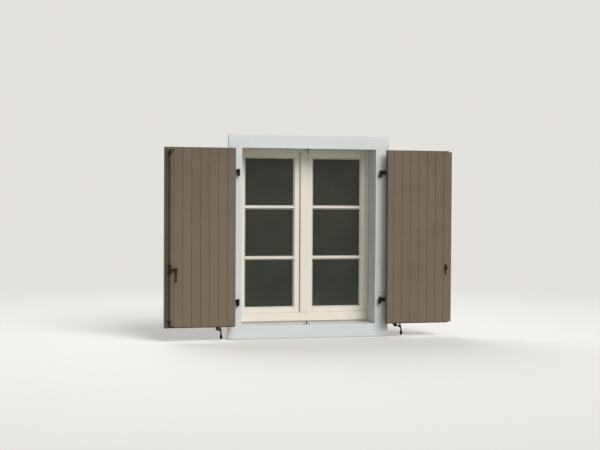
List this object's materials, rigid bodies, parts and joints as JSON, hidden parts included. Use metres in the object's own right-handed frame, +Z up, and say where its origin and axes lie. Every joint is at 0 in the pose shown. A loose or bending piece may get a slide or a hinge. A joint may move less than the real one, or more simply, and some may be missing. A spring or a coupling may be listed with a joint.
{
  "type": "window with board shutters",
  "caption": "Two-leaf window in a flat surround with a pair of outward-folding board shutters, an espagnolette, strap hinges and gravity hold-backs.",
  "frame": {"origin": "the middle of the sill's bearing face on the wall plane, on the window's centre line", "axes": "+X to the right seen from outside, +Y into the building, +Z up"},
  "size_m": [2.127, 0.4003, 1.471],
  "materials": {
    "surround": "painted smooth render, matt",
    "window_paint": "cream paint on wood, satin",
    "shutter_paint": "taupe paint on wood, satin",
    "iron": "black-brown paint on forged iron",
    "glass": "clear float glass, dark behind",
    "steel": "satin nickel"
  },
  "bodies": {
    "window_frame": {"surround_lintel": "surround", "surround_sill": "surround", "surround_jamb_left": "surround", "surround_jamb_right": "surround", "frame_head": "window_paint", "frame_sill": "window_paint", "frame_jamb_left": "window_paint", "frame_jamb_right": "window_paint", "left_pintles": "iron", "right_pintles": "iron", "hook_keepers": "iron", "frame_hinge_pins": "steel", "holdback_bracket_left": "iron", "holdback_bracket_right": "iron"},
    "left_leaf": {"left_outer_boards": "shutter_paint", "left_board_1": "shutter_paint", "left_board_2": "shutter_paint", "left_board_3": "shutter_paint", "left_board_4": "shutter_paint", "left_board_5": "shutter_paint", "left_board_6": "shutter_paint", "left_board_7": "shutter_paint", "left_board_8": "shutter_paint", "left_strap_top": "iron", "left_strap_bottom": "iron", "rod_guides": "iron"},
    "right_leaf": {"right_outer_boards": "shutter_paint", "right_board_1": "shutter_paint", "right_board_2": "shutter_paint", "right_board_3": "shutter_paint", "right_board_4": "shutter_paint", "right_board_5": "shutter_paint", "right_board_6": "shutter_paint", "right_board_7": "shutter_paint", "right_board_8": "shutter_paint", "right_strap_top": "iron", "right_strap_bottom": "iron", "handle_catch": "iron"},
    "espagnolette": {"espagnolette_rod": "iron"},
    "drop_handle": {"drop_handle": "iron"},
    "left_sash": {"left_sash_hinge_stile": "window_paint", "left_sash_meeting_stile": "window_paint", "left_sash_top_rail": "window_paint", "left_sash_bottom_rail": "window_paint", "left_sash_bars": "window_paint", "left_sash_panes": "glass", "left_sash_hinges": "steel"},
    "right_sash": {"right_sash_hinge_stile": "window_paint", "right_sash_meeting_stile": "window_paint", "right_sash_top_rail": "window_paint", "right_sash_bottom_rail": "window_paint", "right_sash_bars": "window_paint", "right_sash_panes": "glass", "right_sash_hinges": "steel", "cover_strip": "window_paint", "window_handle_rose": "steel"},
    "window_handle": {"window_handle": "steel"},
    "left_holdback": {"holdback_lever_left": "iron"},
    "right_holdback": {"holdback_lever_right": "iron"}
  },
  "joints": [
    {"name": "left_leaf_hinge", "type": "hinge", "parent": "window_frame", "child": "left_leaf", "pos_m": [-0.529, -0.054, 0.686], "axis": [0, 0, 1], "range_deg": [0, 180]},
    {"name": "right_leaf_hinge", "type": "hinge", "parent": "window_frame", "child": "right_leaf", "pos_m": [0.529, -0.054, 0.686], "axis": [0, 0, 1], "range_deg": [-180, 0]},
    {"name": "espagnolette_turn", "type": "hinge", "parent": "left_leaf", "child": "espagnolette", "pos_m": [-1.0345, -0.136, 0.465], "axis": [0, 0, 1], "range_deg": [-180, 0]},
    {"name": "drop_handle_lift", "type": "hinge", "parent": "espagnolette", "child": "drop_handle", "pos_m": [-0.9885, -0.136, 0.465], "axis": [0, -1, 0], "range_deg": [0, 135]},
    {"name": "left_sash_swing", "type": "hinge", "parent": "window_frame", "child": "left_sash", "pos_m": [-0.492, 0.208, 0.7], "axis": [0, 0, 1], "range_deg": [0, 90]},
    {"name": "right_sash_swing", "type": "hinge", "parent": "window_frame", "child": "right_sash", "pos_m": [0.492, 0.208, 0.7], "axis": [0, 0, 1], "range_deg": [-90, 0]},
    {"name": "window_handle_turn", "type": "hinge", "parent": "right_sash", "child": "window_handle", "pos_m": [0.024, 0.226, 0.71475], "axis": [0, -1, 0], "range_deg": [0, 90]},
    {"name": "left_holdback_tilt", "type": "hinge", "parent": "window_frame", "child": "left_holdback", "pos_m": [-0.669, -0.104, 0.032], "axis": [-1, 0, 0], "range_deg": [0, 35]},
    {"name": "right_holdback_tilt", "type": "hinge", "parent": "window_frame", "child": "right_holdback", "pos_m": [0.669, -0.104, 0.032], "axis": [-1, 0, 0], "range_deg": [0, 35]}
  ]
}
